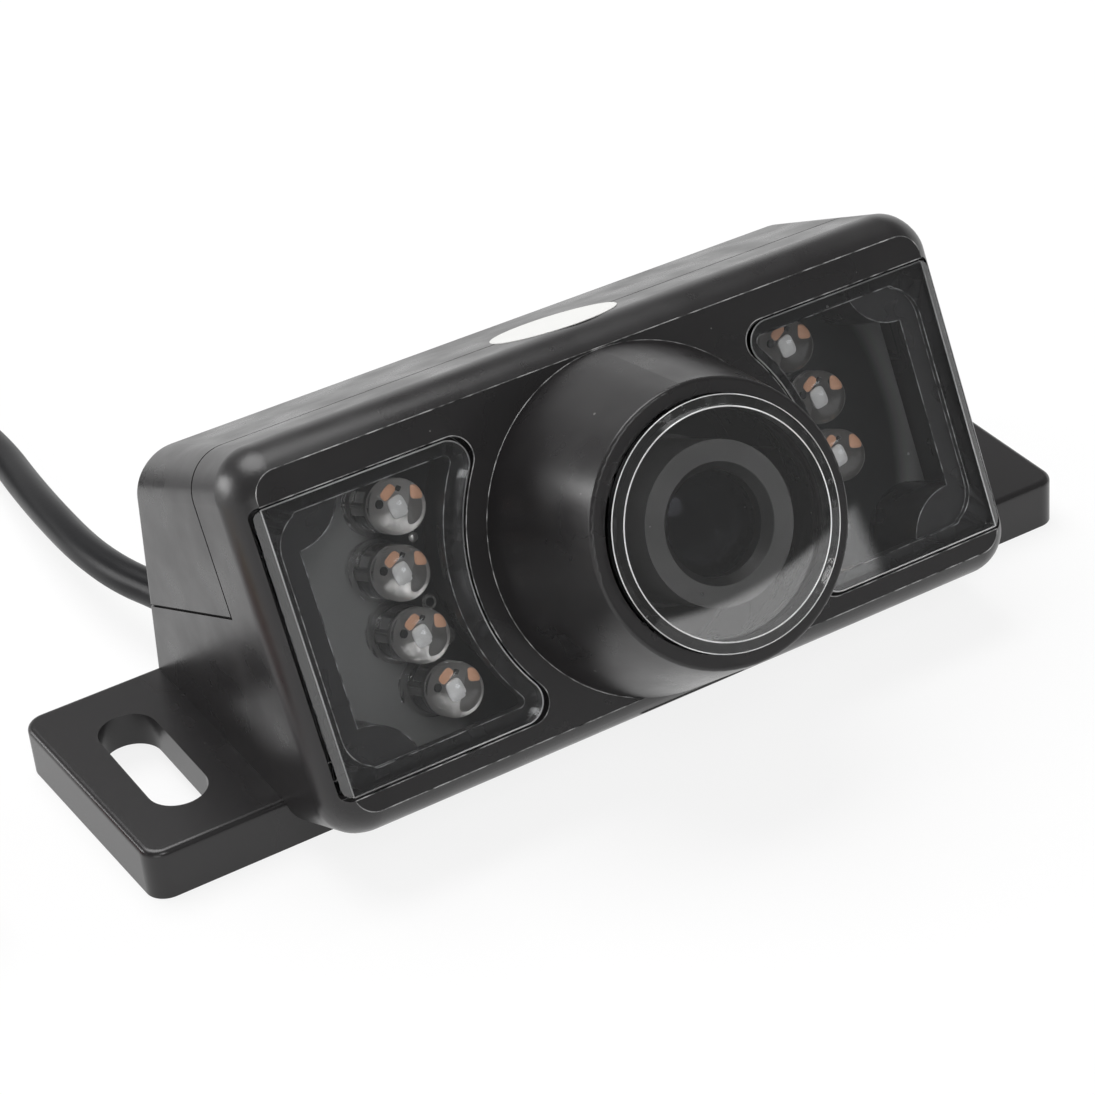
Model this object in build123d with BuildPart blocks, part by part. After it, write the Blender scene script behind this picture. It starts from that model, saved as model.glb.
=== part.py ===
"""Backup camera for a vehicle: a slanted wedge housing with two slotted mounting ears.

The origin is on the flat underside, midway between the two slots. X runs along the
housing (to the right for someone who looks into the lens), Y to the rear, Z up.
"""
from math import cos, pi, radians, sin, tan
import os

from build123d import *

# Mounting ears and base plate
base_tilt = 24.6            # how far the lens looks up from the base plate, degrees
ear_depth = 26.4
ear_thickness = 5.0
ear_half_front = 49.8       # half the length over the ears, at their front edge
ear_half_back = 50.6        # and at their back edge
ear_corner = 2.0
ear_edge = 0.6              # rounding of the ears' top edges
slot_width = 5.6
slot_length = 16.0
slot_inset = 6.6            # of the slots' middle from the ears' front ends
ear_core = 1.6              # depth of the hollow under each ear
ear_core_rim = 2.2          # width of the rim round it
ear_core_corner = 1.0
ear_core_start = 38.2       # where it starts, from the middle of the housing
# Housing section, seen along the lens axis and measured from it
body_half = 36.5
body_top = 18.15
body_bottom = 17.05
body_corner = 4.0
front_blend = 4.8           # rounding between the face and the sides
face_trim = 0.77            # depth by which the flat face cuts the rounding short
axis_height = 22.33         # of the lens axis where it meets the face, above the base
face_forward = 18.04        # of the same point, in front of the slots' middle
back_proud = 0.8            # of the back wall behind the ears, at the underside
back_lean = 7.0             # of the back wall towards the front, degrees
back_edge = 0.8             # rounding of the back wall's edges
wall = 2.0
face_wall = 3.4
floor_wall = 2.2
# Parting of the housing
parting_depth = 9.5         # behind the face
parting_height = 3.5        # above the lens axis
parting_gap = 0.25
parting_recess = 0.35       # how far the gasket stays below the skin
# Lens barrel and its cover glass
barrel_root = 15.85         # radius where it leaves the face
barrel_rim = 12.5           # radius at its front
barrel_length = 13.3
barrel_wall = 2.1
glass_radius = 11.05
glass_thickness = 2.0
glass_proud = 1.24          # of the glass in front of the rim
glass_bevel = 0.24          # height of its edge bevel
glass_bevel_width = 1.05
glass_clearance = 0.12      # round the glass
gasket_thickness = 0.3
ledge_width = 1.15          # of the seat behind the glass
tube_radius = 17.4          # light shield behind the face
tube_wall = 2.0
# Windows
window_arc = 17.8           # radius of the recess round the lens axis
window_top = 13.3
window_bottom = 13.2
window_side = 35.3
window_corner = 2.0
window_side_corner = 0.9
window_thickness = 2.0
window_clearance = 0.28
window_bevel = 0.8          # width of the bevel on the plate's outer upright edge
window_bevel_depth = 0.5
land_width = 1.6            # of the glue land under the plate
shelf_drop = 0.6
shelf_inset = 0.4           # of the shelf from the land's width on that side
opening_corner = 0.6
shelf_corner = 3.4
camera_post_root = 2.0      # how far those posts reach into the barrel
rim_edge = 0.35
ledge_thickness = 1.5
# LED board, its LEDs and its posts
led_radius = 2.5
led_length = 8.5            # dome and body, in front of the board
led_flange = 0.35           # radial
led_flange_thickness = 1.0
led_circle = 22.5
led_step = 14.8             # degrees between neighbouring LEDs
led_turn = 2.6              # degrees by which the right group is turned about the lens
light_sensor_height = 2.2
board_thickness = 1.6
led_board_depth = 10.9      # behind the face
board_clearance = 0.3       # between a board and the walls round it
post_radius = 4.9
post_inset = 3.1            # of the posts' axes from the inner side wall
screw_radius = 1.0
screw_head_radius = 1.9
screw_head_height = 1.3
screw_length = 6.0
screw_clearance = 0.15
screw_tip = 0.4             # gap between a screw's end and the bottom of its hole
board_corner = 1.5
board_slot_width = 31.0     # opening of the LED board for the lens holder
board_slot_height = 20.6
# Camera module
camera_board_gap = 3.0      # from the LED board's front to the camera board's front
camera_board_width = 31.0
camera_board_height = 26.0
camera_post_radius = 2.3
camera_post_centre = 12.6
lens_front = 12.1           # of the lens barrel in front of the face
lens_flange_radius = 7.2
lens_flange_length = 9.6
lens_thread_radius = 6.0
lens_length = 20.0
lens_mouth = 5.35           # radius of the funnel's edge round the front element
lens_stop = 3.2
front_element_radius = 4.6
front_element_depth = 1.0   # of its crown behind the lens barrel's front
front_element_thickness = 3.0
front_element_edge = 1.8
rear_element_thickness = 2.4
ring_radius = 7.6
ring_thickness = 1.2
holder_width = 14.0
holder_corner = 1.0
holder_foot = 7.0           # height of its square part
holder_cavity = 10.4
holder_cavity_depth = 3.4
thread_clearance = 0.05
sensor_width = 8.0
sensor_thickness = 1.2
filter_thickness = 0.55
connector_width = 10.0
connector_depth = 5.5
connector_height = 4.5
connector_offset = 7.5
connector_wall = 0.7
# Screws that hold the rear cover, driven from below
cover_screw_centre = 22.0
cover_screw_back = 6.5
cover_post_radius = 3.0
cover_screw_radius = 1.3
cover_head_radius = 2.3
cover_head_height = 1.8
cover_access = 9.0          # depth of the access hole from below
cover_screw_length = 13.0
# Cable, its gland and what hangs on it
cable_diameter = 3.6
gland_centre = -30.5
gland_height = 6.5
gland_radius = 3.0
gland_tip_radius = 2.5
gland_tip = 16.5            # where the gland ends, behind the origin
gland_seat = 8.4            # where its inner flange sits
gland_flange_radius = 3.9
gland_flange = 1.2
gland_boss_radius = 4.6
coil_radius = 18.9          # to the middle of its turns
coil_section = 4.5          # half the thickness of the bundle of turns
coil_x = -54.0
coil_y = 94.0
tie_width = 3.0
tie_thickness = 0.5
tie_angle = 110.0
splitter_x = -77.0
splitter_back = 66.0
splitter_length = 13.0
splitter_neck = 5.6
splitter_width = 9.0
splitter_thickness = 5.4
splitter_edge = 1.0
tail_diameter = 2.7
tail_spacing = 4.2
video_x = -86.0
video_boot_radius = 5.2
video_boot_length = 17.0
video_shell_radius = 4.15
video_shell_length = 9.5
contact_radius = 1.6
power_x = -69.0
power_boot_radius = 5.5
power_boot_length = 26.0
power_bore = 2.75
power_bore_depth = 9.5
power_pin_radius = 1.05
socket_back = 20.0
socket_wall = 0.5
boot_neck_length = 6.0
boot_edge = 0.8

# Places that follow from the sizes
tilt = radians(base_tilt)
board_back = led_board_depth + board_thickness
camera_board_depth = led_board_depth + camera_board_gap
lens_back = lens_length - lens_front
glass_back = barrel_length + glass_proud - glass_thickness
ledge = glass_back - gasket_thickness
post_centre = body_half - wall - post_inset
post_rise = (body_top - body_bottom) / 2 - 0.35
post_half = (body_top + body_bottom) / 2 - wall - post_inset + 0.5
slot_centre = ear_half_front - slot_inset
reach = 80.0                # longer than any cut through the housing

# The face plane: its local x runs along the housing, y up the face and z out of it.
face = Plane(
    origin=(0, -face_forward, axis_height),
    x_dir=(1, 0, 0),
    z_dir=(0, -cos(tilt), sin(tilt)),
)
lens_axis = Axis(face.origin, face.z_dir)
# Half of a turned part: local x is the distance from the lens axis, y the one in front of the face.
turning = Plane(origin=face.origin, x_dir=face.y_dir, z_dir=face.x_dir)
back = Plane(
    origin=(0, ear_depth / 2 + back_proud, 0),
    x_dir=(1, 0, 0),
    z_dir=(0, cos(radians(back_lean)), sin(radians(back_lean))),
)


def behind(depth):
    """The plane parallel to the face and this far behind it."""
    return face.offset(-depth)


def housing_block(inset, depth, floor):
    """The housing's outer form shrunk by inset, from this depth behind the face to the back wall."""
    with BuildPart() as block:
        with BuildSketch(behind(depth)):
            with Locations((0, (body_top - body_bottom) / 2)):
                RectangleRounded(
                    2 * (body_half - inset),
                    body_top + body_bottom - 2 * inset,
                    body_corner - inset,
                )
        extrude(amount=-reach)
        split(bisect_by=back.offset(-inset), keep=Keep.BOTTOM)
        split(bisect_by=Plane.XY.offset(floor), keep=Keep.TOP)
    return block.part


def rounded_to_face(plane, low, high):
    """A long block between two opposite sides, rounded where they meet the front.

    The plane cuts it squarely; its local y is the distance in front of the face.
    """
    with BuildPart() as block:
        with BuildSketch(plane.offset(-reach)) as section:
            with Locations(((low + high) / 2, face_trim)):
                Rectangle(high - low, reach, align=(Align.CENTER, Align.MAX))
            fillet(section.vertices().group_by(Axis.Y)[-1], radius=front_blend)
        extrude(amount=2 * reach)
        split(bisect_by=face, keep=Keep.BOTTOM)
    return block.part


def parting_block(gap):
    """Everything behind and above the parting surface, moved back and up by gap."""
    with BuildPart() as block:
        with BuildSketch(turning.offset(-reach)):
            with Locations((parting_height + gap, -parting_depth - gap)):
                Rectangle(reach, reach, align=(Align.MIN, Align.MAX))
        extrude(amount=2 * reach)
    return block.part


def finish(part, name):
    """Name a finished piece and write it."""
    part.label = name
    export_step(part, f"parts/{name}.step")


os.makedirs("parts", exist_ok=True)

# The closed outer form of the housing, before it is hollowed and parted
with BuildPart() as skin:
    add(rounded_to_face(Plane(face.origin, face.x_dir, -face.y_dir), -body_half, body_half))
    add(rounded_to_face(turning, -body_bottom, body_top), mode=Mode.INTERSECT)
    along = skin.edges().filter_by(lambda edge: abs(edge.tangent_at(0.5).dot(face.z_dir)) > 0.3)
    fillet(along, radius=body_corner)
    split(bisect_by=back, keep=Keep.BOTTOM)
    split(bisect_by=Plane.XY, keep=Keep.TOP)
    facing_back = skin.faces().filter_by(lambda f: f.normal_at().dot(back.z_dir) > 0.999)
    back_face = facing_back.sort_by(SortBy.AREA).last
    fillet(back_face.edges().filter_by_position(Axis.Z, 1, reach), radius=back_edge)

room = housing_block(wall, face_wall, floor_wall)
with BuildPart() as cover_room:
    add(parting_block(0))
    add(housing_block(wall + board_clearance, face_wall, floor_wall), mode=Mode.SUBTRACT)


def window_sketch(plane, arc, rise, drop, side, corner, side_corner):
    """The right window's outline: a rectangle with its lens side cut by an arc round the lens."""
    with BuildSketch(plane) as outline:
        with Locations((0, (rise - drop) / 2)):
            Rectangle(side, rise + drop, align=(Align.MIN, Align.CENTER))
        Circle(arc, mode=Mode.SUBTRACT)
        fillet(outline.vertices().sort_by(Axis.X)[:2], radius=corner)
        fillet(outline.vertices().sort_by(Axis.X)[-2:], radius=side_corner)
    return outline.sketch


# Recess, dropped shelf and opening of both windows
with BuildPart() as window_cut:
    recess = window_sketch(
        face, window_arc, window_top, window_bottom, window_side, window_corner, window_side_corner
    )
    extrude(recess, amount=-window_thickness, dir=face.z_dir)
    shelf = window_sketch(
        behind(window_thickness),
        window_arc + land_width,
        window_top - land_width,
        window_bottom - land_width,
        window_side - land_width - shelf_inset,
        opening_corner,
        shelf_corner,
    )
    extrude(shelf, amount=-shelf_drop, dir=face.z_dir)
    opening = window_sketch(
        behind(window_thickness),
        window_arc + land_width,
        window_top - land_width,
        window_bottom - land_width,
        post_centre,
        opening_corner,
        opening_corner,
    )
    extrude(opening, amount=-face_wall, dir=face.z_dir)
    mirror(about=Plane.YZ)

# Screw posts in the window corners, the light shield round the lens and the two posts of
# the camera board; they stop at the boards and stay clear of the rear cover
with BuildPart() as stems:
    with BuildSketch(behind(window_thickness + shelf_drop)):
        with Locations((0, post_rise)):
            with GridLocations(2 * post_centre, 2 * post_half, 2, 2):
                Circle(post_radius)
    extrude(amount=-(led_board_depth - window_thickness - shelf_drop))
    with BuildSketch(behind(face_wall / 2)):
        Circle(tube_radius)
        Circle(tube_radius - tube_wall, mode=Mode.SUBTRACT)
    extrude(amount=-(led_board_depth - face_wall / 2))
    add(housing_block(wall / 4, 0, 0), mode=Mode.INTERSECT)
    add(cover_room.part, mode=Mode.SUBTRACT)
    with BuildSketch(behind(led_board_depth)):
        with Locations((0, post_rise)):
            with GridLocations(2 * post_centre, 2 * post_half, 2, 2):
                Circle(screw_radius)
    extrude(amount=screw_length, mode=Mode.SUBTRACT)

with BuildPart() as camera_posts:
    with BuildSketch(behind(camera_board_depth)):
        with GridLocations(2 * camera_post_centre, 0, 2, 1):
            Circle(camera_post_radius)
    extrude(amount=camera_board_depth + camera_post_root)
    with BuildSketch(behind(camera_board_depth)):
        with GridLocations(2 * camera_post_centre, 0, 2, 1):
            Circle(screw_radius)
    extrude(amount=screw_length, mode=Mode.SUBTRACT)

# The barrel outside, and what is hollow inside it
with BuildPart() as barrel:
    with BuildSketch(turning):
        with BuildLine():
            Polyline(
                (0, -face_wall),
                (barrel_root, -face_wall),
                (barrel_root, 0),
                (barrel_rim, barrel_length),
                (0, barrel_length),
                close=True,
            )
        make_face()
    revolve(axis=lens_axis)
    fillet(barrel.faces().sort_by(lens_axis).last.edges(), radius=rim_edge)
with BuildPart() as barrel_bore:
    with BuildSketch(turning):
        with BuildLine():
            Polyline(
                (0, -led_board_depth),
                (tube_radius - tube_wall, -led_board_depth),
                (tube_radius - tube_wall, -face_wall / 2),
                (barrel_root - barrel_wall, 0),
                (glass_radius - ledge_width, ledge - ledge_thickness),
                (glass_radius - ledge_width, ledge),
                (glass_radius + glass_clearance, ledge),
                (glass_radius + glass_clearance, barrel_length + 1),
                (0, barrel_length + 1),
                close=True,
            )
        make_face()
    revolve(axis=lens_axis)

# Base plate with the ears and their slots
with BuildPart() as base_plate:
    with BuildSketch(Plane.XY) as plan:
        Polygon(
            (-ear_half_front, -ear_depth / 2),
            (ear_half_front, -ear_depth / 2),
            (ear_half_back, ear_depth / 2),
            (-ear_half_back, ear_depth / 2),
            align=None,
        )
        fillet(plan.vertices(), radius=ear_corner)
    extrude(amount=ear_thickness)
    fillet(base_plate.faces().sort_by(Axis.Z).last.edges(), radius=ear_edge)

# The hollows under the ears, which leave a rim round each
with BuildPart() as ear_hollows:
    with BuildSketch(Plane.XY) as hollow:
        hollow_end = ear_half_front - ear_core_rim
        Polygon(
            (ear_core_start, -ear_depth / 2 + ear_core_rim),
            (hollow_end, -ear_depth / 2 + ear_core_rim),
            (hollow_end, ear_depth / 2 - ear_core_rim),
            (ear_core_start, ear_depth / 2 - ear_core_rim),
            align=None,
        )
        fillet(hollow.vertices(), radius=ear_core_corner)
    extrude(amount=ear_core)
    mirror(about=Plane.YZ)

# Posts for the two screws that come up from below into the rear cover
with BuildPart() as cover_posts:
    with BuildSketch(Plane.XY):
        with Locations((0, cover_screw_back)):
            with GridLocations(2 * cover_screw_centre, 0, 2, 1):
                Circle(cover_post_radius)
    extrude(amount=reach)
    add(housing_block(wall / 2, face_wall, floor_wall / 2), mode=Mode.INTERSECT)
with BuildPart() as cover_screws:
    with BuildSketch(Plane.XY.offset(cover_access - cover_head_height)):
        with Locations((0, cover_screw_back)):
            with GridLocations(2 * cover_screw_centre, 0, 2, 1):
                Circle(cover_head_radius)
    extrude(amount=cover_head_height)
    with BuildSketch(Plane.XY.offset(cover_access)):
        with Locations((0, cover_screw_back)):
            with GridLocations(2 * cover_screw_centre, 0, 2, 1):
                Circle(cover_screw_radius)
    extrude(amount=cover_screw_length)
    finish(cover_screws.part, "cover_screws")

with BuildPart() as front_housing:
    add(skin.part)
    add(base_plate.part)
    add(parting_block(0), mode=Mode.SUBTRACT)
    add(barrel.part)
    add(room, mode=Mode.SUBTRACT)
    add(window_cut.part, mode=Mode.SUBTRACT)
    add(stems.part)
    add(cover_posts.part - parting_block(0))
    add(barrel_bore.part, mode=Mode.SUBTRACT)
    add(camera_posts.part)
    with BuildSketch(Plane.XY):
        with GridLocations(2 * slot_centre, 0, 2, 1):
            SlotOverall(slot_length, slot_width, rotation=90)
    extrude(amount=ear_thickness, mode=Mode.SUBTRACT)
    add(ear_hollows.part, mode=Mode.SUBTRACT)
    with BuildSketch(Plane.XY):
        with Locations((0, cover_screw_back)):
            with GridLocations(2 * cover_screw_centre, 0, 2, 1):
                Circle(cover_head_radius + screw_clearance)
    extrude(amount=cover_access, mode=Mode.SUBTRACT)
    with BuildSketch(Plane.XY):
        with Locations((0, cover_screw_back)):
            with GridLocations(2 * cover_screw_centre, 0, 2, 1):
                Circle(cover_screw_radius)
    extrude(amount=reach, mode=Mode.SUBTRACT)
    with BuildSketch(Plane.XZ.offset(-gland_seat)):
        with Locations((gland_centre, gland_height)):
            Circle(gland_boss_radius)
    extrude(amount=-(ear_depth / 2 - gland_seat - wall / 2))
    with BuildSketch(Plane.XZ):
        with Locations((gland_centre, gland_height)):
            Circle(gland_radius)
    extrude(amount=-reach, mode=Mode.SUBTRACT)
    finish(front_housing.part, "front_housing")

with BuildPart() as rear_cover:
    add(skin.part)
    add(room, mode=Mode.SUBTRACT)
    add(cover_posts.part)
    add(parting_block(parting_gap), mode=Mode.INTERSECT)
    with BuildSketch(Plane.XY):
        with Locations((0, cover_screw_back)):
            with GridLocations(2 * cover_screw_centre, 0, 2, 1):
                Circle(cover_screw_radius)
    extrude(amount=cover_access + cover_screw_length, mode=Mode.SUBTRACT)
    finish(rear_cover.part, "rear_cover")

with BuildPart() as cover_gasket:
    add(housing_block(parting_recess, -face_trim, floor_wall))
    add(room, mode=Mode.SUBTRACT)
    add(parting_block(0), mode=Mode.INTERSECT)
    add(parting_block(parting_gap), mode=Mode.SUBTRACT)
    finish(cover_gasket.part, "cover_gasket")

# Windows, cover glass and its gasket
with BuildPart() as right_window:
    plate = window_sketch(
        face,
        window_arc + window_clearance,
        window_top - window_clearance,
        window_bottom - window_clearance,
        window_side - window_clearance,
        window_corner,
        window_side_corner,
    )
    extrude(plate, amount=-window_thickness, dir=face.z_dir)
    bevel_start = window_side - window_clearance - window_bevel
    bevel = Plane(
        origin=face.from_local_coords((bevel_start, 0, 0)),
        x_dir=face.y_dir,
        z_dir=window_bevel * face.z_dir + window_bevel_depth * face.x_dir,
    )
    split(bisect_by=bevel, keep=Keep.BOTTOM)
    finish(right_window.part, "right_window")
with BuildPart() as left_window:
    mirror(right_window.part, about=Plane.YZ)
    finish(left_window.part, "left_window")

with BuildPart() as lens_glass:
    with BuildSketch(turning):
        with BuildLine():
            Polyline(
                (0, glass_back),
                (glass_radius, glass_back),
                (glass_radius, barrel_length + glass_proud - glass_bevel),
                (glass_radius - glass_bevel_width, barrel_length + glass_proud),
                (0, barrel_length + glass_proud),
                close=True,
            )
        make_face()
    revolve(axis=lens_axis)
    finish(lens_glass.part, "lens_glass")
with BuildPart() as glass_gasket:
    with BuildSketch(face.offset(ledge)):
        Circle(glass_radius)
        Circle(glass_radius - ledge_width, mode=Mode.SUBTRACT)
    extrude(amount=gasket_thickness)
    finish(glass_gasket.part, "glass_gasket")

# Threaded lens with its two elements and lock ring
flange_back = lens_front - lens_flange_length
with BuildPart() as lens_barrel:
    with BuildSketch(turning):
        with BuildLine():
            Polyline(
                (lens_mouth, lens_front),
                (lens_flange_radius, lens_front),
                (lens_flange_radius, flange_back),
                (lens_thread_radius, flange_back),
                (lens_thread_radius, -lens_back),
                (lens_stop, -lens_back),
                (lens_stop, lens_front - front_element_depth - front_element_thickness),
                (front_element_radius, lens_front - front_element_depth - front_element_thickness),
                (front_element_radius, lens_front - front_element_depth),
                close=True,
            )
        make_face()
    revolve(axis=lens_axis)
    finish(lens_barrel.part, "lens_barrel")
with BuildPart() as front_element:
    element_seat = lens_front - front_element_depth - front_element_thickness
    crown = front_element_thickness - front_element_edge
    crown_radius = (front_element_radius**2 + crown**2) / (2 * crown)
    with BuildSketch(turning):
        with BuildLine():
            Polyline(
                (0, element_seat + front_element_thickness),
                (0, element_seat),
                (front_element_radius, element_seat),
                (front_element_radius, element_seat + front_element_edge),
            )
            RadiusArc(
                (front_element_radius, element_seat + front_element_edge),
                (0, element_seat + front_element_thickness),
                -crown_radius,
            )
        make_face()
    revolve(axis=lens_axis)
    finish(front_element.part, "front_element")
with BuildPart() as rear_element:
    with BuildSketch(behind(lens_back)):
        Circle(lens_stop)
    extrude(amount=rear_element_thickness)
    finish(rear_element.part, "rear_element")
with BuildPart() as lens_lock_ring:
    with BuildSketch(face.offset(flange_back - ring_thickness)):
        Circle(ring_radius)
        Circle(lens_thread_radius + thread_clearance, mode=Mode.SUBTRACT)
    extrude(amount=ring_thickness)
    finish(lens_lock_ring.part, "lens_lock_ring")

# Lens holder on the camera board: a round tower on a square foot
holder_front = flange_back - ring_thickness
with BuildPart() as lens_holder:
    with BuildSketch(behind(camera_board_depth)):
        RectangleRounded(holder_width, holder_width, holder_corner)
    extrude(amount=holder_foot)
    with BuildSketch(behind(camera_board_depth)):
        Circle(ring_radius)
    extrude(amount=camera_board_depth + holder_front)
    with BuildSketch(behind(camera_board_depth)):
        Circle(lens_thread_radius + thread_clearance)
    extrude(amount=camera_board_depth + holder_front, mode=Mode.SUBTRACT)
    with BuildSketch(behind(camera_board_depth)):
        Rectangle(holder_cavity, holder_cavity)
    extrude(amount=holder_cavity_depth, mode=Mode.SUBTRACT)
    finish(lens_holder.part, "lens_holder")
with BuildPart() as infrared_filter:
    with BuildSketch(behind(camera_board_depth - holder_cavity_depth + filter_thickness)):
        Rectangle(holder_cavity, holder_cavity)
    extrude(amount=filter_thickness)
    finish(infrared_filter.part, "infrared_filter")
with BuildPart() as image_sensor:
    with BuildSketch(behind(camera_board_depth)):
        Rectangle(sensor_width, sensor_width)
    extrude(amount=sensor_thickness)
    finish(image_sensor.part, "image_sensor")

# The two boards and what is soldered or screwed to them
led_spots = [
    (led_circle * cos(angle), led_circle * sin(angle))
    for angle in [
        radians(centre + led_step * (1.5 - place))
        for centre in (180, led_turn)
        for place in range(4)
    ]
]
with BuildPart() as led_board:
    with BuildSketch(behind(led_board_depth)):
        with Locations((0, (body_top - body_bottom) / 2)):
            RectangleRounded(
                2 * (body_half - wall - board_clearance),
                body_top + body_bottom - 2 * (wall + board_clearance),
                body_corner - wall,
            )
        SlotOverall(board_slot_width, board_slot_height, mode=Mode.SUBTRACT)
        with Locations((0, post_rise)):
            with GridLocations(2 * post_centre, 2 * post_half, 2, 2):
                Circle(screw_radius + screw_clearance, mode=Mode.SUBTRACT)
    extrude(amount=-board_thickness)
    finish(led_board.part, "led_board")
with BuildPart() as camera_board:
    with BuildSketch(behind(camera_board_depth)):
        RectangleRounded(camera_board_width, camera_board_height, board_corner)
        with GridLocations(2 * camera_post_centre, 0, 2, 1):
            Circle(screw_radius + screw_clearance, mode=Mode.SUBTRACT)
    extrude(amount=-board_thickness)
    finish(camera_board.part, "camera_board")

for number, spot in enumerate(led_spots[:-1], start=1):
    foot = Plane(
        origin=behind(led_board_depth).from_local_coords((*spot, 0)),
        x_dir=face.x_dir,
        z_dir=-face.y_dir,
    )
    with BuildPart() as led:
        with BuildSketch(foot):
            with BuildLine():
                Polyline(
                    (0, led_length),
                    (0, 0),
                    (led_radius + led_flange, 0),
                    (led_radius + led_flange, led_flange_thickness),
                    (led_radius, led_flange_thickness),
                    (led_radius, led_length - led_radius),
                )
                RadiusArc((led_radius, led_length - led_radius), (0, led_length), -led_radius)
            make_face()
        revolve(axis=Axis(foot.origin, face.z_dir))
        finish(led.part, f"infrared_led_{number}")

with BuildPart() as light_sensor:
    with BuildSketch(behind(led_board_depth)):
        with Locations(led_spots[-1]):
            Circle(led_radius)
    extrude(amount=light_sensor_height)
    finish(light_sensor.part, "light_sensor")


def board_screws(name, board_face, columns, rise, rows_apart):
    """Pan-head screws behind a board: two columns, and one or two rows."""
    rows = 2 if rows_apart else 1
    with BuildPart() as screws:
        with BuildSketch(behind(board_face)):
            with Locations((0, rise)):
                with GridLocations(columns, rows_apart, 2, rows):
                    Circle(screw_head_radius)
        extrude(amount=-screw_head_height)
        with BuildSketch(behind(board_face)):
            with Locations((0, rise)):
                with GridLocations(columns, rows_apart, 2, rows):
                    Circle(screw_radius)
        extrude(amount=board_thickness + screw_length - screw_tip)
    finish(screws.part, name)


board_screws("led_board_screws", board_back, 2 * post_centre, post_rise, 2 * post_half)
board_screws(
    "camera_board_screws", camera_board_depth + board_thickness, 2 * camera_post_centre, 0, 0
)
with BuildPart() as board_connector:
    with BuildSketch(behind(camera_board_depth + board_thickness)):
        with Locations((-connector_offset, 0)):
            Rectangle(connector_depth, connector_width)
    extrude(amount=-connector_height)
    with BuildSketch(behind(camera_board_depth + board_thickness + connector_height)):
        with Locations((-connector_offset, 0)):
            Rectangle(connector_depth - 2 * connector_wall, connector_width - 2 * connector_wall)
    extrude(amount=connector_height - connector_wall, mode=Mode.SUBTRACT)
    finish(board_connector.part, "board_connector")

# Cable gland: its flange sits on the inner boss and its tapered tip stands out behind
with BuildPart() as cable_gland:
    with BuildSketch(Plane(origin=(gland_centre, 0, gland_height), x_dir=(1, 0, 0), z_dir=(0, 0, 1))):
        with BuildLine():
            Polyline(
                (0, gland_seat - gland_flange),
                (gland_flange_radius, gland_seat - gland_flange),
                (gland_flange_radius, gland_seat),
                (gland_radius, gland_seat),
                (gland_radius, ear_depth / 2),
                (gland_tip_radius, gland_tip),
                (0, gland_tip),
                close=True,
            )
        make_face()
    revolve(axis=Axis((gland_centre, 0, gland_height), (0, 1, 0)))
    finish(cable_gland.part, "cable_gland")


def lay_cord(name, diameter, points):
    """A round cord along straight runs; each corner's arc is as large as its shorter run allows."""
    radii = []
    for before, corner, after in zip(points, points[1:], points[2:]):
        run_in, run_out = Vector(corner) - Vector(before), Vector(after) - Vector(corner)
        half_turn = radians(run_in.get_angle(run_out)) / 2
        radii.append(0.45 * min(run_in.length, run_out.length) / tan(half_turn))
    with BuildPart() as cord:
        with BuildLine() as route:
            FilletPolyline(*points, radius=radii)
        with BuildSketch(Plane(origin=points[0], z_dir=Vector(points[1]) - Vector(points[0]))):
            Circle(diameter / 2)
        sweep()
        finish(cord.part, name)
    length = sum(edge.length for edge in route.edges())
    expected = pi * diameter**2 / 4 * length
    print(f"{name}: length {length:.1f}, radii {[round(r, 1) for r in radii]}")
    print(f"{name}: volume {cord.part.volume:.1f}, section times length {expected:.1f}")


cable_rest = cable_diameter / 2
coil_entry = coil_radius + (coil_section - cable_rest) * cos(radians(45))
coil_exit = coil_radius + coil_section - cable_rest
splitter_rest = splitter_thickness / 2
cable_points = [
    (gland_centre, gland_tip, gland_height),
    (gland_centre, 19.6, gland_height),
    (-34.0, 30.4, 6.1),
    (-33.4, 48.7, 4.6),
    (-30.8, 68.6, 1.9),
    (coil_x + coil_entry, 84.0, 1.9),
    (coil_x + coil_entry, coil_y, 2.7),
]
lay_cord("cable", cable_diameter, cable_points)
cable_end_points = [
    (coil_x - coil_exit, coil_y, coil_section),
    (coil_x - coil_exit - 0.2, 86.0, 4.2),
    (splitter_x, 76.0, splitter_rest),
    (splitter_x, splitter_back, splitter_rest),
]
lay_cord("cable_end", cable_diameter, cable_end_points)


def bundle_section(inset, mode=Mode.ADD):
    """The bundle of turns as a plain eight-sided section, flat below and above."""
    RegularPolygon(coil_section - inset, 8, major_radius=False, rotation=22.5, mode=mode)


def bundle(angle):
    """The upright plane through the coil's axis at this angle; local x runs outwards, y up."""
    turn = radians(angle)
    return Plane(
        origin=(coil_x, coil_y, coil_section),
        x_dir=(cos(turn), sin(turn), 0),
        z_dir=(sin(turn), -cos(turn), 0),
    )


coil_axis = Axis((coil_x, coil_y, 0), (0, 0, 1))
with BuildPart() as coil_tie:
    with BuildSketch(bundle(tie_angle)):
        with Locations((coil_radius, 0)):
            bundle_section(0)
            bundle_section(tie_thickness, Mode.SUBTRACT)
    revolve(axis=coil_axis, revolution_arc=tie_width / coil_radius * 180 / pi)
    finish(coil_tie.part, "coil_tie")
with BuildPart() as cable_coil:
    with BuildSketch(bundle(0)):
        with Locations((coil_radius, 0)):
            bundle_section(0)
    revolve(axis=coil_axis)
    add(coil_tie.part, mode=Mode.SUBTRACT)
    finish(cable_coil.part, "cable_coil")

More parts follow.
